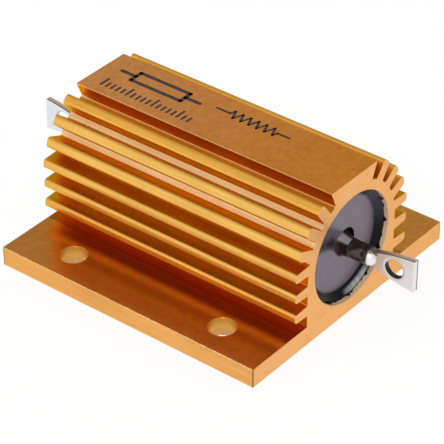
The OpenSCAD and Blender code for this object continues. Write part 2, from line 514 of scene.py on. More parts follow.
@dataclass(frozen=True)
class Anodised:
    """Gold anodised aluminium. The housing's sizes tell its faces apart, and each kind has its tone.
    Only the open faces, the sawn ends, the specks and the streaks show the metal's own colour. The
    other tones are painted light: shade in the grooves, holes and corners, reflections on the plate's
    top and the flat top, and highlights on edges, groove floors and the bore.

    A pair holds the two places, in millimetres, between which one tone gives way to another. The small
    numbers added to a size are where a mask starts and ends its fade beside that size's edge.
    """

    part: "Housing"
    open_face: Colour = (0.97, 0.56, 0.13)
    # painted shade on the outer faces: darker low down, darker high up and on the plate's long edges
    low_face_shade: Colour = (0.97, 0.47, 0.080)
    high_face_shade: Colour = (0.98, 0.51, 0.090)
    # painted highlight along the flat top's long edges
    top_edge_highlight: Colour = (0.98, 0.54, 0.18)
    plate_edge_shade: Colour = (0.90, 0.46, 0.15)
    # painted shade: a dark line down the plate's vertical corners at the sawn ends
    corner: Colour = (0.20, 0.09, 0.03)
    sawn: Colour = (0.955, 0.53, 0.268)
    # painted reflection: the flat top darker and redder, paler towards the far end
    top: Colour = (0.93, 0.345, 0.075)
    top_far_reflection: Colour = (0.94, 0.42, 0.17)
    # painted shade in the grooves: darker near the ends and on the far side, lighter on the low walls
    groove_shade: Colour = (0.84, 0.47, 0.012)
    groove_end_shade: Colour = (0.86, 0.38, 0.016)
    far_groove_shade: Colour = (0.80, 0.32, 0.035)
    low_wall_light: Colour = (0.95, 0.54, 0.03)
    # painted reflection of the fins in the plate's top, lighter on the far side
    flange_reflection: Colour = (0.55, 0.125, 0.001)
    far_flange_reflection: Colour = (0.68, 0.23, 0.03)
    # painted shade on the rib's leaning sides
    rib: Colour = (0.80, 0.27, 0.004)
    # painted reflection: the fanned grooves' floors are pale
    groove_floor: Colour = (1.0, 0.62, 0.30)
    # painted shade on the groove floor beside the rib's foot
    rib_foot_shade: Colour = (0.72, 0.33, 0.02)
    # painted light: the bore's strip is pale and nearly non-metallic, so that it reads as brightly lit
    bore: Colour = (1.0, 0.71, 0.48)
    # painted light in the mounting holes: a duller tan towards the foot, painted shade towards the top
    hole: Colour = (0.96, 0.55, 0.13)
    painted_hole_foot: Colour = (0.86, 0.48, 0.20)
    hole_top_shade: Colour = (0.62, 0.24, 0.02)
    speck: Colour = (1.0, 0.48, 0.03)
    # a pale line along the plate's top long edges: edge wear and painted highlight
    rim: Colour = (1.0, 0.74, 0.40)
    shade: Colour = (0.20, 0.06, 0.004)
    glance: Colour = (1.0, 0.68, 0.0)
    rough: float = 0.29
    fan_rise: Pair = (2.8, 3.0)
    # heights where the painted shade of the high and low outer faces fades in
    high_rise: Pair = (9.3, 10.8)
    low_z: Pair = (9.0, 5.0)
    far_y: Pair = (-2.0, 2.0)
    # heights of the painted light and shade in the mounting holes
    hole_foot_z: Pair = (1.35, 1.05)
    groove_end_x: float = 17.5
    low_wall_h: float = 2.6
    tip_depth: float = 0.35
    under_rib_w: float = 1.3
    hole_top_shade_depth: float = 1.6

    def faces(self, x: Value, y: Value, z: Value) -> Faces:
        """Tells the kinds of face apart.

        Args:
            x: Place along the bore in millimetres.
            y: Place across the plate in millimetres.
            z: Height in millimetres.

        Returns:
            The masks.
        """
        part, rise, aside = self.part, z - self.part.axis_z, abs(y)
        plate, edge, tip, rib = part.plate_t, part.width / 2, part.tip_r - self.tip_depth, part.top_w / 2
        radius = (y * y + rise * rise).root()
        fanned = rise.ramp(*self.fan_rise)
        tips = (radius.ramp(tip - 0.15, tip) * fanned).maximum(aside.ramp(tip - 0.15, tip))
        in_plate = z.ramp(plate + 0.02, plate - 0.02) * aside.ramp(edge, edge - 0.1)
        off_x, off_y = abs(x) - part.hole_x, aside - part.hole_y
        from_hole, hole_r = (off_x * off_x + off_y * off_y).root(), part.mount_hole_d / 2
        floor = radius.ramp(part.root_r + 0.25, part.root_r + 0.10) * fanned
        return Faces(
            end=abs(x).ramp(part.end_x - 0.03, part.end_x - 0.01),
            outer=tips * (1 - in_plate),
            plate_top=z.ramp(plate + 0.3, plate + 0.1) * z.ramp(plate - 0.1, plate - 0.04),
            hole=from_hole.ramp(hole_r + 0.06, hole_r + 0.02),
            groove_floor=floor,
            rib_side=aside.ramp(rib + 0.12, rib + 0.05) * fanned * (1 - floor),
            top=z.ramp(part.height - 0.04, part.height - 0.02),
            bore=radius.ramp(part.bore_d / 2 + 0.06, part.bore_d / 2 + 0.03))

    def recess(self, g: Shading, on: Faces, x: Value, y: Value, z: Value) -> Value:
        """The colour of the grooves, the rib's sides and the plate's top: painted shade and reflection.

        Args:
            g: The material's nodes.
            on: The masks of the faces.
            x: Place along the bore in millimetres.
            y: Place across the plate in millimetres.
            z: Height in millimetres.

        Returns:
            The colour.
        """
        plate, foot, aside = self.part.plate_t, self.part.rib_side()[0][0], abs(y)
        far = y.ramp(*self.far_y)
        under_rib = aside.ramp(foot + self.under_rib_w + 0.2, foot + self.under_rib_w)
        beside_foot = under_rib * (1 - aside.ramp(foot + 0.30, foot + 0.22))
        return g.layers(
            # painted shade in the grooves, lighter on the low walls
            self.groove_shade,
            (abs(x).ramp(self.groove_end_x, self.part.end_x), self.groove_end_shade),
            (far, self.far_groove_shade),
            (z.ramp(plate + self.low_wall_h + 0.4, plate + self.low_wall_h), self.low_wall_light),
            # painted reflection of the fins in the plate's top
            (on.plate_top, g.mix(far, self.flange_reflection, self.far_flange_reflection)),
            # painted shade on the rib's sides
            (on.rib_side, self.rib),
            # painted reflection on the groove floors, with painted shade beside the rib's foot
            (on.groove_floor, g.mix(beside_foot, self.groove_floor, self.rib_foot_shade)))

    def face(self, g: Shading, z: Value) -> Value:
        """The colour of the fins' outer faces and of the plate's long edges, with painted shade by height.

        Args:
            g: The material's nodes.
            z: Height in millimetres.

        Returns:
            The colour.
        """
        plate = self.part.plate_t
        return g.layers(
            self.open_face,
            # painted shade: darker low down, darker high up, darker on the plate's long edges
            (z.ramp(*self.low_z), self.low_face_shade),
            ((z - self.part.axis_z).ramp(*self.high_rise), self.high_face_shade),
            (z.ramp(plate + 0.1, plate), self.plate_edge_shade))

    def material(self) -> bpy.types.Material:
        """Builds the material on object coordinates.

        Returns:
            The material.
        """
        g = Shading("anodised_aluminium")
        point, x, y, z = g.place()
        on, part, aside = self.faces(x, y, z), self.part, abs(y)
        plate, edge, rib, top, end_x = part.plate_t, part.width / 2, part.top_w / 2, part.height, part.end_x
        lines = g.noise(g.stretch(point, (0.015, 1.0, 1.0)), 4.5, 4.0, 0.65)
        saw = g.noise(g.stretch(point, (1.0, 0.10, 1.0)), 3.2, 3.0, 0.6)
        cloud, grain = g.noise(point, 0.12, 3.0), g.noise(point, 9.0, 2.0)
        # the second noise breaks up the dust specks and the pale edge line
        mottle, dust_and_sheen = g.noise(point, 1.1, 4.0, 0.7), g.noise(point, 4.2, 2.0, 0.6)

        # painted highlight: a band along the flat top's long edges
        top_highlight_band = aside.ramp(rib - 0.22, rib - 0.12) * z.ramp(top - 0.14, top - 0.10)
        # painted light and shade on the mounting holes' walls
        wall = g.layers(self.hole, (z.ramp(*self.hole_foot_z), self.painted_hole_foot),
                        (z.ramp(plate - self.hole_top_shade_depth, plate) * 0.55, self.hole_top_shade))
        # edge wear and painted highlight along the plate's top long edges
        rim = z.ramp(plate - 0.20, plate - 0.08) * z.ramp(plate + 0.3, plate + 0.1)
        rim = rim * aside.ramp(edge - 0.16, edge - 0.08)
        # painted shade down the plate's vertical corners at the sawn ends
        corner = abs(x).ramp(end_x - 0.22, end_x - 0.12) * aside.ramp(edge - 0.22, edge - 0.12)
        drawn = 1 - on.end
        streaks = lines.ramp(0.66, 0.34) * drawn * (1 - on.plate_top) * (1 - on.top)
        shade = streaks * 0.20 + saw.ramp(0.7, 0.3) * on.end * 0.08 + cloud.ramp(0.65, 0.35) * 0.06
        shade = shade + mottle.ramp(0.62, 0.38) * (on.plate_top + on.top) * 0.16
        colour = g.layers(
            self.recess(g, on, x, y, z),
            (on.outer, self.face(g, z)),
            # painted reflection on the flat top, paler towards the far end
            (on.top, g.mix(x.ramp(end_x, -end_x), self.top, self.top_far_reflection)),
            # painted highlight on the flat top's long edges
            (top_highlight_band * 0.7, self.top_edge_highlight),
            # painted light on the bore's strip
            (on.bore, self.bore),
            (on.hole, wall),
            (on.end, self.sawn),
            # edge wear and painted highlight along the plate's edges
            (rim * dust_and_sheen.ramp(0.40, 0.60), self.rim),
            # painted shade at the plate's vertical corners
            (corner * 0.75, self.corner),
            (shade, self.shade),
            (dust_and_sheen.ramp(0.64, 0.74) * drawn * 0.35, self.speck))
        rough = self.rough + lines * 0.08 + grain * 0.04
        rough = rough + on.end * 0.08 + on.bore * 0.25 - on.plate_top * 0.10
        metallic = 1 - on.bore * 0.95 - on.hole * 0.5
        relief = g.bump(lines * drawn + saw * on.end * 0.5, 0.010, 0.6)
        normal = g.bump(grain, 0.006, 0.5, relief)
        return g.finish({"Specular Tint": (*self.glance, 1.0)},
                        {"Base Color": colour, "Roughness": rough, "Metallic": metallic, "Normal": normal})


@dataclass(frozen=True)
class Compound:
    """Dark moulded compound with a glossy skin, hazy on the dish's floor. Painted shade makes it black
    in the wells and darker towards the bottom, a painted reflection of the pin lies on the floor, and
    painted highlights lie on the sleeve and the dish's lower wall.
    """

    part: "CompoundPlug"
    # painted reflection: a pale sheen on the dish's lower wall
    dust_and_sheen: Colour = (0.52, 0.56, 0.57)
    # painted highlight along the upper side of the sleeve round the pin
    sleeve_highlight: Colour = (0.52, 0.48, 0.51)
    # the sleeve round the pin is darker than the rest of the compound
    sleeve_dark: Colour = (0.017, 0.013, 0.013)
    russet: Colour = (0.075, 0.034, 0.030)
    body: Colour = (0.032, 0.027, 0.045)
    haze: Colour = (0.128, 0.090, 0.142)
    haze_pale: Colour = (0.144, 0.112, 0.152)
    # painted shade: black for the lower skin, the shadow in the wells and the pin's reflection
    painted_black: Colour = (0.003, 0.003, 0.004)
    # the direction the painted sheen on the dish wall faces
    sheen_side: float = 0.36
    sheen_up: float = -0.933
    # painted reflection of the pin on the dish's floor: where the dark band lies and fades
    pin_reflection_up: float = 0.95
    pin_reflection_slope: float = 0.22
    pin_reflection_fade: Pair = (1.7, 0.1)
    pin_reflection_side: Pair = (-1.4, -2.6)
    # heights over which the painted shade of the lower skin fades out
    skin_up: Pair = (-2.0, 3.0)

    def material(self) -> bpy.types.Material:
        """Builds the material on object coordinates.

        side runs to +Y at the right-hand end and to -Y at the other, as each end is the other one
        turned half round.

        Returns:
            The material.
        """
        g = Shading("moulding_compound")
        point, x, y, z = g.place()
        floor_x, rim_x, out = self.part.floor_x, self.part.rim_x, abs(x)
        up, side = z - self.part.axis_z, y * (x.ramp(-1.0, 1.0) * 2 - 1)
        radius = (y * y + up * up).root()
        cloud, grain = g.noise(point, 0.35, 3.0), g.noise(point, 7.0, 3.0)
        smear = g.noise(g.stretch(point, (1.0, 1.0, 0.25)), 1.4, 3.0)

        flat_r, sleeve_r = self.part.floor_r, self.part.pin_r + self.part.sleeve_swell + 0.05
        floor = out.ramp(floor_x + 0.12, floor_x + 0.02) * radius.ramp(flat_r + 0.1, flat_r - 0.4)
        well = out.ramp(floor_x - 0.02, floor_x - 0.10)
        shadow = well * side.ramp(0.0, 0.7) * (side + up * 0.6).ramp(0.4, 1.1)
        sleeve = radius.ramp(sleeve_r + 0.06, sleeve_r) * out.ramp(floor_x - 0.66, floor_x - 0.55)
        # painted highlight along the sleeve's upper side
        highlight_on_sleeve = sleeve * (up * RIDGE_UP - side * RIDGE_FRONT - radius * 0.86).ramp(0.0, 0.22)
        # painted reflection of the pin: a dark band on the floor beside it
        pin_reflection = abs(up + side * self.pin_reflection_slope - self.pin_reflection_up).ramp(*self.pin_reflection_fade)
        pin_reflection = pin_reflection * side.ramp(*self.pin_reflection_side) * floor
        # painted reflection: where the dish wall faces down and a little aside, a pale sheen
        sheen_facing = side * self.sheen_side + up * self.sheen_up - radius * 0.90
        wall, below_rim = out.ramp(floor_x + 0.2, floor_x + 0.6), out.ramp(rim_x + 0.05, rim_x - 0.15)
        colour = g.layers(
            # painted shade: the skin darker towards the bottom
            g.mix(up.ramp(*self.skin_up), self.painted_black, self.body),
            (floor * (0.8 + smear * 0.4), g.mix(cloud.ramp(0.35, 0.65), self.haze, self.haze_pale)),
            # painted shadow in the well
            (shadow, self.painted_black),
            # the sleeve darker than the rest of the compound
            (sleeve, self.sleeve_dark),
            (sleeve * smear.ramp(0.45, 0.62) * 0.8, self.russet),
            (highlight_on_sleeve * (0.3 + smear * 0.9), self.sleeve_highlight),
            # painted reflection of the pin on the floor
            (pin_reflection * 0.75, self.painted_black),
            # painted reflection on the dish's lower wall
            (sheen_facing.ramp(0.0, 0.85) * wall * below_rim * (0.3 + smear), self.dust_and_sheen))
        rough = 0.20 + floor * 0.14 + cloud * 0.06 + grain * 0.05 + shadow * 0.4
        return g.finish({"IOR": 1.45, "Specular IOR Level": 0.16, "Coat Roughness": 0.26, "Coat IOR": 1.5},
                        {"Base Color": colour, "Roughness": rough, "Normal": g.bump(grain, 0.004, 0.5),
                         "Coat Weight": floor * (1 - shadow) * (1 - pin_reflection)})


@dataclass(frozen=True)
class Tinned:
    """Tin plate, bright on the blade and stained with dark compound on the round pin. A highlight along
    the pin's upper side and shade along the blade's front edges are painted.
    """

    part: "Terminal"
    bright: Colour = (0.90, 0.88, 0.87)
    dull: Colour = (0.846, 0.8272, 0.8178)
    stain: Colour = (0.020, 0.017, 0.016)
    pale_stain: Colour = (0.150, 0.132, 0.100)
    # reddish brown blotches on the front of the pin near the housing
    red_brown: Colour = (0.16, 0.085, 0.070)
    cool: Colour = (0.80, 0.82, 0.85)
    sheared: Colour = (0.26, 0.25, 0.26)
    # dark brown on the upper side of the pin's shoulder before the blade
    shoulder_brown: Colour = (0.20, 0.13, 0.085)
    # painted shade along the front edges of the blade's cut sides, and the darker side inside the hole
    edge_shade_and_hole_dark: Colour = (0.060, 0.052, 0.050)
    copper: Colour = (0.80, 0.56, 0.30)
    # painted highlight along the upper side of the pin near its root
    ridge_highlight: Colour = (0.42, 0.40, 0.43)
    stain_end: float = 28.0
    ridge_highlight_end: float = 24.3
    red_brown_x: Pair = (26.5, 25.0)

    def stained(self, g: Shading, point: Value, out: Value, y: Value, rise: Value, speck: Value) -> Value:
        """The colour of the compound's stain on the pin, and of a painted highlight along its top.

        Args:
            g: The material's nodes.
            point: The point on the piece.
            out: Distance from the middle, along X.
            y: Place across the pin.
            rise: Height over the pin's axis.
            speck: Noise that breaks up the stain.

        Returns:
            The colour.
        """
        pin_r, blotch = self.part.pin_r, g.noise(point, 0.9, 3.0, 0.55)
        front = y.ramp(0.3, -0.9)
        # painted highlight along the pin's upper side near the root
        ridge = (rise * RIDGE_UP - y * RIDGE_FRONT).ramp(pin_r * 0.90, pin_r * 0.98)
        along = out.ramp(self.ridge_highlight_end, self.ridge_highlight_end - 0.8)
        return g.layers(
            g.mix(blotch.ramp(0.38, 0.60) * front, self.stain, self.pale_stain),
            # reddish brown blotches on the pin's front near the housing
            (speck.ramp(0.54, 0.66) * out.ramp(*self.red_brown_x) * front, self.red_brown),
            (along * ridge * (0.6 + speck * 0.6), self.ridge_highlight))

    def plated(self, g: Shading, out: Value, y: Value, rise: Value, speck: Value, fine: Value) -> Value:
        """The colour of the tin, with the cut sides' bare metal and painted shade, and the hole's dark side.

        Args:
            g: The material's nodes.
            out: Distance from the middle, along X.
            y: Place across the pin.
            rise: Height over the pin's axis.
            speck: Noise that breaks up the dark side inside the hole.
            fine: Fine noise of the plating.

        Returns:
            The colour.
        """
        part, half_t = self.part, self.part.blade_t / 2
        off_x, inner_r = out - (part.tip_x - part.eyelet_end), part.eyelet_r + 0.15
        off = (off_x * off_x + rise * rise).root()
        before_tip = out.ramp(part.tip_x - 0.03, part.tip_x - 0.08)
        inside = off.ramp(inner_r + 0.10, inner_r) * abs(y).ramp(half_t - 0.02, half_t - 0.10)
        # darker on the lower side of the hole's wall, towards the pin
        eyelet_dark = (off_x * -0.45 - rise * 0.9 + (speck - 0.5) * 2.0).ramp(-0.1, 0.6) * inside
        flared = out.ramp(part.flare_x - 0.4, part.flare_x + 0.6)
        cut_side = flared * abs(y).ramp(half_t - 0.04, half_t - 0.12) * (1 - inside) * before_tip
        return g.layers(
            g.mix(fine.ramp(0.3, 0.7), self.dull, self.bright),
            (self.on_blade(out) * before_tip, self.cool),
            (eyelet_dark, self.edge_shade_and_hole_dark),
            (cut_side * (y.ramp(-0.30, -0.12) * y.ramp(0.32, 0.14)), self.copper),
            # painted shade along the front edges of the cut sides
            (cut_side * y.ramp(-0.20, -0.32), self.edge_shade_and_hole_dark),
            (out.ramp(part.tip_x - 0.05, part.tip_x - 0.01) * y.ramp(0.10, 0.30), self.sheared))

    def on_blade(self, out: Value) -> Value:
        """A mask of the flat blade."""
        return out.ramp(self.part.flare_x - 0.3, self.part.flare_x + 0.1)

    def material(self) -> bpy.types.Material:
        """Builds the material on object coordinates.

        Returns:
            The material.
        """
        g = Shading("tinned_terminal")
        point, x, y, z = g.place()
        out, rise, flare_x, pin_r = abs(x), z - self.part.axis_z, self.part.flare_x, self.part.pin_r
        speck = g.noise(g.stretch(point, (0.8, 1.0, 1.0)), 2.4, 4.0, 0.6)
        fine = g.noise(point, 8.0, 3.0)
        ragged = out + (speck - 0.5) * 1.8
        skin = (y * y + rise * rise).root().ramp(pin_r - 0.14, pin_r - 0.05)
        stained = ragged.ramp(self.stain_end + 0.5, self.stain_end - 0.3) * skin
        # dark brown on the shoulder's upper side
        shoulder = rise.ramp(0.80, 1.10) * out.ramp(flare_x + 0.5, flare_x - 0.2) * (1 - stained)
        colour = g.layers(
            self.plated(g, out, y, rise, speck, fine),
            (stained, self.stained(g, point, out, y, rise, speck)),
            (shoulder * 0.85, self.shoulder_brown))
        rough = 0.27 + fine * 0.10 + stained * 0.14 + self.on_blade(out) * 0.13
        normal = g.bump(fine, 0.006, 0.5, g.bump(speck, 0.03, 0.5))
        return g.finish({}, {"Base Color": colour, "Roughness": rough, "Normal": normal,
                             "Metallic": 1 - stained * 0.5})


@dataclass(frozen=True)
class Plain:
    """A finish of one tone with a fine grain, for the ink and for the sealed inner pieces."""

    name: str
    dark: Colour
    light: Colour
    rough: float
    metallic: float = 0.0
    grain_scale: float = 6.0

    def material(self) -> bpy.types.Material:
        """Builds the material on object coordinates.

        Returns:
            The material.
        """
        g = Shading(self.name)
        point, *_ = g.place()
        grain = g.noise(point, self.grain_scale, 3.0)
        colour = g.mix(grain.ramp(0.35, 0.65), self.dark, self.light)
        rough = self.rough + grain * 0.10
        return g.finish({"Metallic": self.metallic},
                        {"Base Color": colour, "Roughness": rough, "Normal": g.bump(grain, 0.004, 0.4)})


# ---------------------------------------------------------------------------------------------
# The object's pieces
# ---------------------------------------------------------------------------------------------


def dress(piece: bpy.types.Object, finish: "Anodised | Compound | Tinned", crease_deg: float) -> None:
    """Gives a piece its finish as its only material, and smooths it up to the crease angle.

    Args:
        piece: The piece to dress.
        finish: Its finish, which makes the material.
        crease_deg: The angle in degrees past which an edge stays sharp.
    """
    smooth(piece, crease_deg)
    piece.data.materials.clear()
    piece.data.materials.append(finish.material())


@dataclass
class Housing:
    """The finned extrusion, with its bore and mounting holes. Sizes are in millimetres."""

    length: float
    width: float
    height: float
    plate_t: float = 3.3
    plate_edge_r: float = 0.1
    bore_d: float = 18.4
    bore_floor: float = 2.35
    bore_wall: float = 1.65
    fin_t: float = 1.8
    fin_tip_t: float = 1.5
    fan_tip_t: float = 1.7
    groove_depth: float = 3.0
    fin_corner_r: float = 0.5
    groove_corner_r: float = 0.2
    level_fins: int = 3
    level_fin_rise: float = 1.9
    level_fin_pitch: float = 3.6
    fan_fins: int = 3
    fan_start_angle: float = 23.0
    fan_step_angle: float = 15.25
    fan_tip_slant: float = 0.2
    top_w: float = 11.3
    top_lean_angle: float = 23.0
    top_edge_r: float = 0.1
    mount_hole_d: float = 4.4
    mount_hole_end: float = 9.85
    mount_hole_side: float = 5.25
    edge_break: float = 0.05
    hole_break: float = 0.06
    cutter_over: float = 0.3
    arc_steps: int = 6
    bore_turns: int = 160
    hole_turns: int = 72
    crease_deg: float = 38

    @property
    def axis_z(self) -> float:
        """Height of the bore's axis."""
        return self.bore_floor + self.bore_d / 2

    @property
    def end_x(self) -> float:
        """Distance of a sawn end from the middle."""
        return self.length / 2

    @property
    def root_r(self) -> float:
        """Radius of the metal at the bottom of the grooves."""
        return self.bore_d / 2 + self.bore_wall

    @property
    def tip_r(self) -> float:
        """Radius of the fins' tips."""
        return self.root_r + self.groove_depth

    @property
    def hole_x(self) -> float:
        """Distance of a mounting hole from the middle, along the bore."""
        return self.end_x - self.mount_hole_end

    @property
    def hole_y(self) -> float:
        """Distance of a mounting hole from the middle, across the plate."""
        return self.width / 2 - self.mount_hole_side

    def level_fin(self, rise: float) -> list[tuple[float, float, float]]:
        """A level fin's corners from its lower root to its upper root, as y, z and radius.

        The upper root lies on the root circle when it is above the axis.

        Args:
            rise: Height of the fin's middle over the bore's axis.

        Returns:
            The corners.
        """
        half, tip = self.fin_t / 2, self.fin_tip_t / 2
        upper_root = math.sqrt(self.root_r**2 - max(rise + half, 0) ** 2)
        middle = self.axis_z + rise
        inner, outer = self.groove_corner_r, self.fin_corner_r
        return [(self.root_r, middle - half, inner), (self.tip_r, middle - tip, outer),
                (self.tip_r, middle + tip, outer), (upper_root, middle + half, inner)]

    def fan_fin(self, slope_deg: float) -> list[tuple[float, float, float]]:
        """A fanned fin's corners: drawn level in the same order, then turned to its slope.

        Args:
            slope_deg: The fin's slope in degrees.

        Returns:
            The corners.
        """
        half, tip = self.fin_t / 2, self.fan_tip_t / 2
        root = math.sqrt(self.root_r**2 - half**2)
        c, s = math.cos(math.radians(slope_deg)), math.sin(math.radians(slope_deg))
        inner, outer = self.groove_corner_r, self.fin_corner_r
        flat = [(root, -half, inner), (self.tip_r, -tip, outer),
                (self.tip_r + self.fan_tip_slant, tip, outer), (root, half, inner)]
        return [(a * c - b * s, self.axis_z + a * s + b * c, radius) for a, b, radius in flat]

    def rib_side(self) -> list[tuple[float, float, float]]:
        """The rib's foot, where its leaning side meets the root circle, and its top corner.

        Returns:
            The two corners, as y, z and radius.
        """
        rise, lean = self.height - self.axis_z, math.tan(math.radians(self.top_lean_angle))
        start = self.top_w / 2 - rise * lean
        a, b, c = 1 + lean**2, 2 * start * lean, start**2 - self.root_r**2
        foot = (-b + math.sqrt(b**2 - 4 * a * c)) / (2 * a)
        return [(start + foot * lean, self.axis_z + foot, self.groove_corner_r),
                (self.top_w / 2, self.height, self.top_edge_r)]

    def half_section(self) -> tuple[np.ndarray, np.ndarray]:
        """Corners of the section's right half, from the plate's foot up to the flat top.

        Returns:
            The corners as y and z, and the radius at each.
        """
        edge = self.width / 2
        rows = [(edge, 0, self.plate_edge_r), (edge, self.plate_t, self.plate_edge_r),
                (self.root_r, self.plate_t, self.groove_corner_r)]
        for k in range(self.level_fins - 1, -1, -1):
            rows += self.level_fin(self.level_fin_rise - k * self.level_fin_pitch)
        for k in range(self.fan_fins):
            rows += self.fan_fin(self.fan_start_angle + k * self.fan_step_angle)
        table = np.array(rows + self.rib_side(), float)
        return table[:, :2], table[:, 2]

    def outline(self) -> np.ndarray:
        """The whole section's outline, anticlockwise, as y and z.

        Returns:
            The outline's points.
        """
        corners, radii = self.half_section()
        left = corners[::-1] * np.array([-1, 1])
        return rounded_outline(np.concatenate([corners, left]), np.concatenate([radii, radii[::-1]]),
                               self.arc_steps)

    def prism(self) -> Solid:
        """The extrusion before it is drilled: the outline along X, drawn in at the sawn ends.

        Near an end the outline is inset by edge_break * (1 - sine) while X moves by
        edge_break * (1 - cosine), which is a quarter round.

        Returns:
            Points and faces.
        """
        outline = self.outline()
        turn = np.linspace(0, math.pi / 2, 4)
        x = -self.end_x + self.edge_break * (1 - np.cos(turn))
        inset = self.edge_break * (1 - np.sin(turn))
        x, inset = np.concatenate([x, -x[::-1]]), np.concatenate([inset, inset[::-1]])
        rings = [np.column_stack([np.full(len(outline), a), inset_outline(outline, b)])
                 for a, b in zip(x, inset)]
        return np.concatenate(rings), tube_faces(len(x), len(outline))

    def cutter_profile(self, radius: float, low: float, high: float) -> np.ndarray:
        """A drill's profile, radius against height, that widens past both faces to break their edges.

        Args:
            radius: The hole's radius.
            low: Where the hole starts.
            high: Where it ends.

        Returns:
            The profile's points.
        """
        flare, over = self.hole_break, self.cutter_over
        wide = radius + flare
        return np.array([[wide + over, low - over], [wide, low], [radius, low + flare],
                         [radius, high - flare], [wide, high], [wide + over, high + over]])

    def drills(self) -> Solid:
        """The bore's cutter and the four mounting holes' cutters.

        Returns:
            Points and faces.
        """
        bore, faces = revolve(self.cutter_profile(self.bore_d / 2, -self.end_x, self.end_x), self.bore_turns)
        parts = [(along_x(bore, self.axis_z), faces)]
        hole, faces = revolve(self.cutter_profile(self.mount_hole_d / 2, 0, self.plate_t), self.hole_turns)
        for x in (-self.hole_x, self.hole_x):
            parts += [(hole + np.array([x, y, 0]), faces) for y in (-self.hole_y, self.hole_y)]
        return join_parts(parts)

    def build(self) -> bpy.types.Object:
        """Makes the housing's mesh and dresses it.

        Returns:
            The finished piece.
        """
        piece = mesh_object("finned_housing", *self.prism())
        cut(piece, mesh_object("drills", *self.drills()))
        dress(piece, Anodised(self), self.crease_deg)
        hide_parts("housing")
        return piece


@dataclass
class Marking:
    """Printed marks on the flat top: two common resistor symbols and a row of ticks."""

    top_z: float
    thickness: float = 0.012
    bold: float = 0.72
    fine: float = 0.42
    cap_steps: int = 8
    box_x: Pair = (-18.4, -8.6)
    box_y: Pair = (0.3, 2.8)
    box_lead: float = 2.8
    ticks: int = 18
    tick_y: float = -3.5
    tick_l: float = 1.1
    long_tick_l: float = 1.9
    long_every: int = 5
    wave_x: float = -0.5
    wave_y: float = 2.3
    wave_rise: float = 0.9
    wave_pitch: float = 0.75
    wave_peaks: int = 12
    wave_leads: Pair = (2.5, 2.1)

    def stroke(self, start: Pair, end: Pair, width: float) -> Solid:
        """A straight stroke with round ends, as a thin plate.

        Each end is half a circle about the end point, and the two halves joined make the outline.

        Args:
            start: The middle of its first end.
            end: The middle of its other end.
            width: Its width.

        Returns:
            Points and faces.
        """
        a, b = np.array(start, float), np.array(end, float)
        heading = math.atan2(*(b - a)[::-1])
        turn = np.linspace(-math.pi / 2, math.pi / 2, self.cap_steps)
        ends = [(b, heading + turn), (a, heading + math.pi + turn)]
        outline = np.concatenate([c + width / 2 * np.stack([np.cos(t), np.sin(t)], 1) for c, t in ends])
        low = np.column_stack([outline, np.full(len(outline), self.top_z)])
        high = np.column_stack([outline, np.full(len(outline), self.top_z + self.thickness)])
        return np.concatenate([low, high]), tube_faces(2, len(outline))

    def path(self, corners: list[Pair], width: float) -> list[Solid]:
        """Strokes from corner to corner."""
        return [self.stroke(a, b, width) for a, b in zip(corners, corners[1:])]

    def box_symbol(self) -> list[Solid]:
        """The resistor drawn as a box between two leads.

        Returns:
            Its strokes.
        """
        (left, right), (low, high) = self.box_x, self.box_y
        middle, lead = (low + high) / 2, self.box_lead
        box = [(left, low), (right, low), (right, high), (left, high), (left, low)]
        lines = [box, [(left - lead, middle), (left, middle)], [(right, middle), (right + lead, middle)]]
        return [stroke for line in lines for stroke in self.path(line, self.bold)]

    def tick_row(self) -> list[Solid]:
        """A row of ticks a millimetre apart, with every fifth one longer.

        Returns:
            Its strokes.
        """
        lengths = [self.tick_l if k % self.long_every else self.long_tick_l for k in range(self.ticks)]
        start = self.box_x[0] - self.box_lead
        return [self.stroke((start + k, self.tick_y), (start + k, self.tick_y + tall), self.fine)
                for k, tall in enumerate(lengths)]

    def wave_symbol(self) -> list[Solid]:
        """The resistor drawn as a zigzag between two leads.

        Returns:
            Its strokes.
        """
        start, end = self.wave_x, self.wave_x + self.wave_pitch * self.wave_peaks
        peaks = [(start + self.wave_pitch * (k + 0.5), self.wave_y + self.wave_rise * (-1) ** k)
                 for k in range(self.wave_peaks)]
        leads = [start - self.wave_leads[0], start], [end, end + self.wave_leads[1]]
        before, after = ([(x, self.wave_y) for x in lead] for lead in leads)
        return self.path(before + peaks + after, self.fine)

    def build(self) -> bpy.types.Object:
        """Makes the marks and dresses them in ink.

        Returns:
            The finished piece.
        """
        parts = join_parts(self.box_symbol() + self.tick_row() + self.wave_symbol())
        piece = mesh_object("marking", *parts)
        ink = Plain("marking_ink", (0.030, 0.012, 0.008), (0.060, 0.026, 0.016), 0.42)
        piece.data.materials.append(ink.material())
        return piece


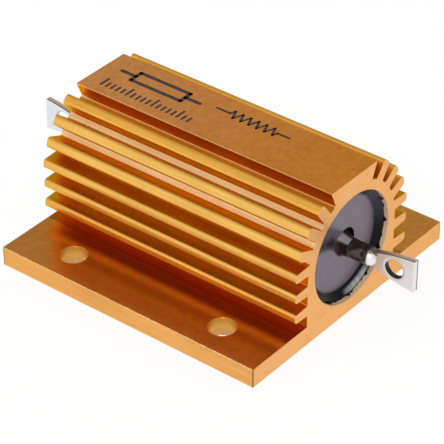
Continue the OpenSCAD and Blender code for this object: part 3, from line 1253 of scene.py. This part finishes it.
@dataclass
class CompoundPlug:
    """The moulded compound, with a dish, a well round the pin and flash at each end."""

    end_x: float
    axis_z: float
    bore_r: float
    mould_gap: float = 0.05
    rim_depth: float = 0.8
    rim_land: float = 0.1
    dish_depth: float = 0.95
    dish_wall_run: float = 1.1
    pin_r: float = 1.5
    well_d: float = 4.6
    well_depth: float = 0.6
    well_offset: float = 0.6
    sleeve_swell: float = 0.5
    sleeve_l: float = 2.3
    sleeve_rings: int = 14
    nib_count: int = 12
    nib_reach: float = 0.6
    flash_t: float = 0.06
    flash_reach: float = 0.28
    flash_waves: int = 9
    turns: int = 180
    round_turns: int = 96
    seed: int = 7
    crease_deg: float = 40

    @property
    def outer_r(self) -> float:
        """Radius of the compound."""
        return self.bore_r - self.mould_gap

    @property
    def rim_x(self) -> float:
        """Distance of the rim from the middle."""
        return self.end_x - self.rim_depth

    @property
    def floor_x(self) -> float:
        """Distance of the dish's floor from the middle."""
        return self.rim_x - self.dish_depth

    @property
    def floor_r(self) -> float:
        """Radius of the dish's flat floor."""
        return self.outer_r - self.rim_land - self.dish_wall_run

    def profile(self) -> np.ndarray:
        """The end's profile, radius against distance past the dish's floor, from the pin outwards.

        Its four corners are rounded. Two more only close the outline and are dropped again, and a last
        point carries the outer wall back into the bore.

        Returns:
            The profile's points.
        """
        lip, steps, back = self.outer_r - self.rim_land, 8, -2
        corners = np.array([[self.pin_r, 0], [self.floor_r, 0], [lip, self.dish_depth],
                            [self.outer_r, self.dish_depth], [self.outer_r, back], [self.pin_r, back]])
        radii = np.array([0.01, 0.15, 0.05, 0.03, 0.01, 0.01])
        arcs = rounded_outline(corners, radii, steps)[:4 * steps]
        return np.concatenate([arcs, [[self.outer_r, back - 1.0]]])

    def polar(self, x: np.ndarray, radius: np.ndarray, angle: np.ndarray) -> np.ndarray:
        """Points at distances x along the bore, at a radius and an angle from +Y towards +Z."""
        shape = np.broadcast_arrays(x, radius * np.cos(angle), self.axis_z + radius * np.sin(angle))
        return np.stack(shape, -1).reshape(-1, 3)

    def nibs(self) -> list[Solid]:
        """Flash nibs on the rim against the bore: torn teeth, each with its own width, reach and lean.

        Returns:
            The nibs of the right-hand end.
        """
        chance = np.random.default_rng(self.seed)
        parts = []
        for k in range(self.nib_count):
            angle = FULL_TURN * k / self.nib_count + chance.normal(0, 0.02)
            width, reach = chance.uniform(0.55, 0.95), chance.uniform(0.6, 1.0) * self.nib_reach
            thick, lean = chance.uniform(0.18, 0.30), chance.uniform(-0.25, 0.25)
            along = np.array([-0.3, 0.0, 0.5 * reach, reach])
            half = np.array([0.62, 0.60, 0.34, 0.05]) * width
            depth = np.array([1.0, 1.0, 0.8, 0.35]) * thick
            shift = np.array([0, 0, 0.4, 1.0]) * lean
            theta = angle + (shift[:, None] + half[:, None] * np.array([-1, 1, 1, -1])) / self.outer_r
            radius = self.outer_r - depth[:, None] * np.array([0, 0, 1, 1])
            parts.append((self.polar(self.rim_x + along[:, None], radius, theta), tube_faces(4, 4)))
        return parts

    def flash(self) -> Solid:
        """A thin ragged fringe on the rim against the bore.

        Its reach is a sum of waves round the bore, with whole numbers of waves and random phases,
        of which only the crests stand above the rim.

        Returns:
            Points and faces.
        """
        chance = np.random.default_rng(self.seed + 1)
        angle = np.arange(2 * self.turns) * FULL_TURN / (2 * self.turns)
        count = self.flash_waves
        waves = chance.integers(5, 60, count)
        phase, size = chance.uniform(0, FULL_TURN, count), chance.uniform(0.3, 1.0, count) / (1 + waves / 25)
        swell = (size[:, None] * np.sin(waves[:, None] * angle + phase[:, None])).sum(0)
        reach = np.clip(swell / np.abs(swell).max(), 0.03, 1) * self.flash_reach
        outer, inner = self.outer_r - 0.004, self.outer_r - self.flash_t
        x = self.rim_x + np.stack([0 * reach - 0.1, reach, reach, 0 * reach - 0.1])
        radius = np.array([outer, outer, inner, inner])[:, None]
        faces = grid_faces(4, len(angle), True, True).tolist()
        return self.polar(x, radius, angle), faces

    def sleeve(self) -> Solid:
        """The thin sleeve of compound that climbs the pin out of the well.

        Its swell over the pin is sleeve_swell * (1 - t) to the power 1.5, with t from 0 at the well's
        bottom to 1 at its feathered end.

        Returns:
            Points and faces.
        """
        t = np.linspace(0, 1, self.sleeve_rings)
        x = self.floor_x - self.well_depth + self.sleeve_l * t
        outer = self.pin_r + 0.03 + self.sleeve_swell * (1 - t) ** 1.5
        x = np.concatenate([x, x[::-1]])[:, None]
        radius = np.concatenate([outer, np.full(len(t), self.pin_r + 0.01)])[:, None]
        angle = np.arange(self.round_turns) * FULL_TURN / self.round_turns
        return self.polar(x, radius, angle[None]), grid_faces(len(x), len(angle), True, True).tolist()

    def well_cut(self) -> Solid:
        """The cutter of the right-hand well: round, with a softened edge and bottom corner.

        Returns:
            Points and faces.
        """
        radius, depth = self.well_d / 2, self.well_depth
        shape, faces = revolve(np.array([[radius - 0.2, -depth], [radius - 0.06, -depth + 0.05],
                                         [radius, -depth + 0.2], [radius, -0.06], [radius + 0.03, -0.02],
                                         [radius + 0.10, 0.01], [radius + 0.10, 0.3]]), self.round_turns)
        place = [self.floor_x + shape[:, 2], self.well_offset + shape[:, 1], self.axis_z + shape[:, 0]]
        return np.stack(place, 1), faces

    def build(self) -> bpy.types.Object:
        """Makes the plug's mesh and dresses it.

        Returns:
            The finished piece.
        """
        half = self.profile() + np.array([0, self.floor_x])
        ring, _ = revolve(np.concatenate([half, half[::-1] * np.array([1, -1])]), self.turns)
        body = (along_x(ring, self.axis_z), grid_faces(2 * len(half), self.turns, True, True).tolist())
        piece = mesh_object("compound_plug", *body)
        well, well_faces = self.well_cut()
        other = well * np.array([-1, -1, 1])
        cut(piece, mesh_object("wells", *join_parts([(well, well_faces), (other, well_faces)])))
        add_loose(piece, [*self.nibs(), self.flash(), self.sleeve()])
        dress(piece, Compound(self), self.crease_deg)
        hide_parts("moulded_compound")
        return piece


class End(Enum):
    """The two ends of the part, with the sign of X at each."""

    LEFT = -1
    RIGHT = 1


@dataclass
class Terminal:
    """A round pin that is flattened into a flared blade with a hole."""

    end: End
    tip_x: float
    root_x: float
    axis_z: float
    pin_r: float = 1.5
    blade_t: float = 1.05
    blade_h: float = 5.4
    flare_l: float = 6.7
    flare_ease: float = 2.5
    flatten_r: float = 1.9
    eyelet_r: float = 1.55
    eyelet_end: float = 3.55
    eyelet_lip: float = 0.35
    edge_r: float = 0.08
    dome_lead: float = 0.25
    blade_gap: Pair = (0.002, 0.04)
    pin_rings: int = 14
    dome_rings: int = 44
    blade_rings: int = 40
    ring_points: int = 128
    hole_turns: int = 64
    crease_deg: float = 40

    @property
    def flare_x(self) -> float:
        """Where the blade begins to flare."""
        return self.tip_x - self.flare_l

    def half_thickness(self, x: np.ndarray, rise: np.ndarray) -> np.ndarray:
        """Half the thickness left by the flattening, along the pin and at each rise from its axis.

        The pin ends in a dome, half an ellipsoid that is flatten_r long. Its half thickness is
        sqrt(pin_r squared * (1 - u squared) - rise squared), where u runs from 0 to 1 along the dome,
        and it never falls below half the blade's thickness.

        Args:
            x: Places along the pin.
            rise: Distances from its axis.

        Returns:
            Half the thickness at each.
        """
        along = np.clip(1 - (self.flare_x - x) / self.flatten_r, 0, 1)
        dome = np.sqrt(np.clip(self.pin_r**2 * (1 - along**2) - rise**2, 0, None))
        return np.maximum(dome, self.blade_t / 2)

    def half_height(self, x: np.ndarray) -> np.ndarray:
        """Half the blade's height. It follows a large circle, level at flare_ease past the tip.

        The circle passes through the pin's side at the flare's start and the blade's corner at its end.

        Args:
            x: Places along the pin.

        Returns:
            Half the height at each.
        """
        top, rise = self.blade_h / 2, self.blade_h / 2 - self.pin_r
        centre = (top + self.pin_r - self.flare_l * (self.flare_l + 2 * self.flare_ease) / rise) / 2
        radius = math.hypot(self.flare_ease, top - centre)
        ahead = self.tip_x + self.flare_ease - np.maximum(x, self.flare_x)
        return centre + np.sqrt(radius**2 - ahead**2)

    def stations(self) -> tuple[np.ndarray, np.ndarray]:
        """Where the rings stand along X, and how far each is drawn in to round the blade's tip.

        The draw-in is edge_r - sqrt(edge_r squared - d squared), where d is the distance past the
        point where the rounding starts. The pin's last ring stands blade_gap's first number before the
        flare's start, and the blade's first ring stands its second number past that ring.

        Returns:
            The places and the draw-in at each.
        """
        start, edge = self.flare_x - self.flatten_r - self.dome_lead, self.edge_r
        before, after = self.blade_gap
        pin_end, flat_end = self.flare_x - before, self.tip_x - edge
        turn = np.linspace(0, math.pi / 2, 5)[1:]
        x = np.concatenate([np.linspace(self.root_x, start, self.pin_rings)[:-1],
                            np.linspace(start, pin_end, self.dome_rings),
                            np.linspace(pin_end + after, flat_end, self.blade_rings),
                            self.tip_x - edge * (1 - np.sin(turn))])
        past = np.clip(x - flat_end, 0, None)
        return x, edge - np.sqrt(np.clip(edge**2 - past**2, 0, None))

    def rings(self) -> Solid:
        """The pin and blade as rings along X.

        On the pin a ring is a circle whose points are held within the half thickness. On the blade it
        is a rectangle: the points below the corner's angle spread over its side, those above over
        its edge, and the corner is eased by a squared fall.

        Returns:
            Points and faces.
        """
        x, draw_in = self.stations()
        angle = (np.arange(self.ring_points) + 0.5) * FULL_TURN / self.ring_points
        c, s = np.abs(np.cos(angle))[None], np.abs(np.sin(angle))[None]
        thick = self.half_thickness(x[:, None], self.pin_r * s) - draw_in[:, None]
        tall = (self.half_height(x) - draw_in)[:, None]
        corner_c = self.blade_t / 2 / self.pin_r
        corner_s = math.sqrt(1 - corner_c**2)
        y_blade, z_blade = thick * np.minimum(c / corner_c, 1), tall * np.minimum(s / corner_s, 1)
        over_y = np.clip(y_blade - (thick - self.edge_r), 0, None) / self.edge_r
        over_z = np.clip(z_blade - (tall - self.edge_r), 0, None) / self.edge_r
        ease = 0.3 * self.edge_r * (over_y * over_z) ** 2
        on_blade = (x > self.flare_x)[:, None]
        y = np.where(on_blade, y_blade - ease, np.minimum(self.pin_r * c, thick)) * np.sign(np.cos(angle))
        z = np.where(on_blade, z_blade - ease, self.pin_r * s) * np.sign(np.sin(angle))
        points = np.stack([x[:, None] + 0 * y, y, self.axis_z + z], -1).reshape(-1, 3)
        return points, tube_faces(len(x), self.ring_points)

    def punch(self) -> Solid:
        """The hole's cutter: narrow in the middle of the blade, flared at both faces like a pressed lip.

        The flare is eyelet_lip * (1 - cosine) past the point where the wall ends.

        Returns:
            Points and faces.
        """
        half, lip = self.blade_t / 2, self.eyelet_lip
        turn = np.linspace(0, math.pi / 2, 5)
        height = half - 0.5 * lip + 0.5 * lip * np.sin(turn)
        radius = self.eyelet_r + lip * (1 - np.cos(turn))
        upper = np.stack([radius, height], 1)
        upper = np.concatenate([upper, [[radius[-1] + 0.2, half + 0.3]]])
        lower = upper[::-1] * np.array([1, -1])
        points, faces = revolve(np.concatenate([lower, upper]), self.hole_turns)
        x = self.tip_x - self.eyelet_end
        return np.stack([x + points[:, 0], points[:, 2], self.axis_z + points[:, 1]], 1), faces

    def build(self) -> bpy.types.Object:
        """Makes the terminal's mesh and dresses it.

        Returns:
            The finished piece.
        """
        side = self.end.name.lower()
        points, faces = self.rings()
        hole, hole_faces = self.punch()
        if self.end is End.LEFT:
            points, hole = mirrored(points), mirrored(hole)
        piece = mesh_object(f"{side}_terminal", points, faces)
        cut(piece, mesh_object("punch", hole, hole_faces))
        dress(piece, Tinned(self), self.crease_deg)
        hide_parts(f"terminal_{side}")
        return piece


@dataclass
class Element:
    """The sealed pieces inside the compound. They keep their CAD meshes and get their own finishes."""

    nodes: dict[str, bpy.types.Object]
    core: Plain = Plain("steatite", (0.80, 0.78, 0.72), (0.88, 0.86, 0.80), 0.55)
    winding: Plain = Plain("drawn_alloy", (0.50, 0.46, 0.41), (0.62, 0.58, 0.52), 0.28, 1.0)
    cap: Plain = Plain("plated_cap", (0.58, 0.58, 0.60), (0.68, 0.68, 0.70), 0.24, 1.0)

    def dress(self) -> None:
        """Gives each inner piece its material."""
        finishes = {"ceramic_core": self.core, "resistance_winding": self.winding,
                    "end_cap_left": self.cap, "end_cap_right": self.cap}
        for name, finish in finishes.items():
            node = self.nodes[name]
            material = bpy.data.materials.get(finish.name) or finish.material()
            if not node.material_slots:
                raise RuntimeError(f"{name} has no material slot")
            node.material_slots[0].material = material
            LOG.info("%s: finish %s", name, finish.name)


# ---------------------------------------------------------------------------------------------
# The studio
# ---------------------------------------------------------------------------------------------


def stand(name: str, data: "bpy.types.Camera | bpy.types.Light", place: Vector,
          facing: Vector) -> bpy.types.Object:
    """Stands a camera or lamp at its place, turned to face a direction.

    Args:
        name: The object's name.
        data: The camera or light that it shows.
        place: Its place in millimetres.
        facing: The direction that it looks or shines in.

    Returns:
        The linked object.
    """
    made = bpy.data.objects.new(name, data)
    made.location = place * MM
    made.rotation_mode = "QUATERNION"
    made.rotation_quaternion = facing.to_track_quat("-Z", "Y")
    bpy.context.scene.collection.objects.link(made)
    return made


@dataclass
class Studio:
    """Camera, floor, world and one soft lamp. Distances are in millimetres."""

    azimuth_deg: float = 38.53
    elevation_deg: float = 34.97
    distance: float = 370.3
    target: Triple = (1.73, -2.49, 7.72)
    lens: float = 196.7
    sensor: float = 36.0
    clip: Pair = (10.0, 20000.0)
    floor_size: float = 3000.0
    floor_gap: float = 0.02
    floor_white: float = 0.90
    floor_lift: float = 0.85
    floor_glow: float = 1.048
    sky_back: float = 0.53
    sky_front: float = 1.08
    back_from: float = -0.1
    front_from: float = 0.95
    key_place: Triple = (450, -730, 810)
    key_size: float = 350
    key_power: float = 2.3

    def camera(self) -> None:
        """Points the camera at the target from its azimuth and elevation."""
        data = bpy.data.cameras.new("camera")
        data.lens, data.sensor_width = self.lens, self.sensor
        data.clip_start, data.clip_end = (distance * MM for distance in self.clip)
        a, e = math.radians(self.azimuth_deg), math.radians(self.elevation_deg)
        back = Vector((math.sin(a) * math.cos(e), -math.cos(a) * math.cos(e), math.sin(e)))
        place = Vector(self.target) + back * self.distance
        bpy.context.scene.camera = stand("camera", data, place, -back)

    def floor(self) -> None:
        """A pale floor, which is lifted towards white where it is seen or mirrored, and keeps its shadow.

        Open floor is seen as lift * glow + (1 - lift) * its own shade, which comes to just under 1.
        """
        half = self.floor_size / 2
        square = np.array([[-1, -1], [1, -1], [1, 1], [-1, 1]]) * half
        plane = mesh_object("floor", np.column_stack([square, np.full(4, -self.floor_gap)]), [[0, 1, 2, 3]])
        g = Shading("floor_paper")
        point, *_ = g.place()
        grain = g.noise(point, 0.02, 2.0)
        white = self.floor_white
        colour = g.mix(grain, (white - 0.01,) * 3, (white, white, white))
        g.finish({"Roughness": 0.9, "Specular IOR Level": 0.1}, {"Base Color": colour})
        glow = g.node("ShaderNodeEmission", {}, {"Color": (1, 1, 1, 1), "Strength": self.floor_glow})
        path = g.node("ShaderNodeLightPath", {}, [], "Is Camera Ray")
        seen = path.maximum(path.beside("Is Glossy Ray")).maximum(path.beside("Is Transmission Ray"))
        lift = seen * self.floor_lift
        mixed = g.node("ShaderNodeMixShader", {}, [lift, Value(g, g.shader.outputs[0]), glow])
        g.tree.links.new(mixed.socket, g.output.inputs["Surface"])
        plane.data.materials.append(g.material)

    def world(self) -> None:
        """White where the camera looks past the floor. Elsewhere bright in front and dimmer behind.

        The strength goes from sky_back to sky_front as the direction's -Y part goes from
        back_from to front_from.
        """
        world = bpy.data.worlds.new("studio")
        bpy.context.scene.world = world
        world.use_nodes = True
        g = Graph(world.node_tree)
        g.tree.nodes.clear()
        _, y, _ = g.parts(g.node("ShaderNodeTexCoord", {}, [], "Generated"))
        front = y.ramp(-self.back_from, -self.front_from)
        camera = g.node("ShaderNodeLightPath", {}, [], "Is Camera Ray")
        level = self.sky_back + front * (self.sky_front - self.sky_back)
        strength = level * (1 - camera) + camera
        light = g.node("ShaderNodeBackground", {}, {"Color": (1, 1, 1, 1), "Strength": strength})
        g.node("ShaderNodeOutputWorld", {}, [light], None)

    def lamp(self, name: str, place: Triple, size: float, power: float) -> None:
        """A square soft lamp that faces the object.

        Args:
            name: The lamp's name.
            place: Where it stands.
            size: The length of its side.
            power: Its power in watts.
        """
        data = bpy.data.lights.new(name, "AREA")
        data.size, data.energy = size * MM, power
        stand(name, data, Vector(place), -Vector(place))

    def build(self) -> None:
        """Sets up the camera first, then what surrounds the object."""
        self.camera()
        self.floor()
        self.world()
        self.lamp("key", self.key_place, self.key_size, self.key_power)
        bpy.context.scene.view_settings.view_transform = "Standard"


# ---------------------------------------------------------------------------------------------
# The whole part
# ---------------------------------------------------------------------------------------------


def millimetres(node: str) -> tuple[np.ndarray, np.ndarray]:
    """A CAD node's lowest and highest corners in millimetres."""
    low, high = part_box(node)
    return np.array(low) / MM, np.array(high) / MM


def main() -> None:
    """Builds the studio and the pieces in order."""
    logging.basicConfig(level=logging.INFO, format="%(message)s")
    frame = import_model()
    Studio().build()

    low, high = millimetres("housing")
    housing = Housing(*(high - low))
    cap_outer = millimetres("end_cap_right")[1][0]
    tip_x = millimetres("terminal_right")[1][0]
    plug = CompoundPlug(housing.end_x, housing.axis_z, housing.bore_d / 2)
    pieces = [housing.build(), Marking(housing.height).build(), plug.build()]
    pieces += [Terminal(end, tip_x, cap_outer, housing.axis_z).build() for end in End]
    Element(frame["nodes"]).dress()
    for piece in pieces:
        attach(piece, BODY)


if __name__ == "__main__":
    main()
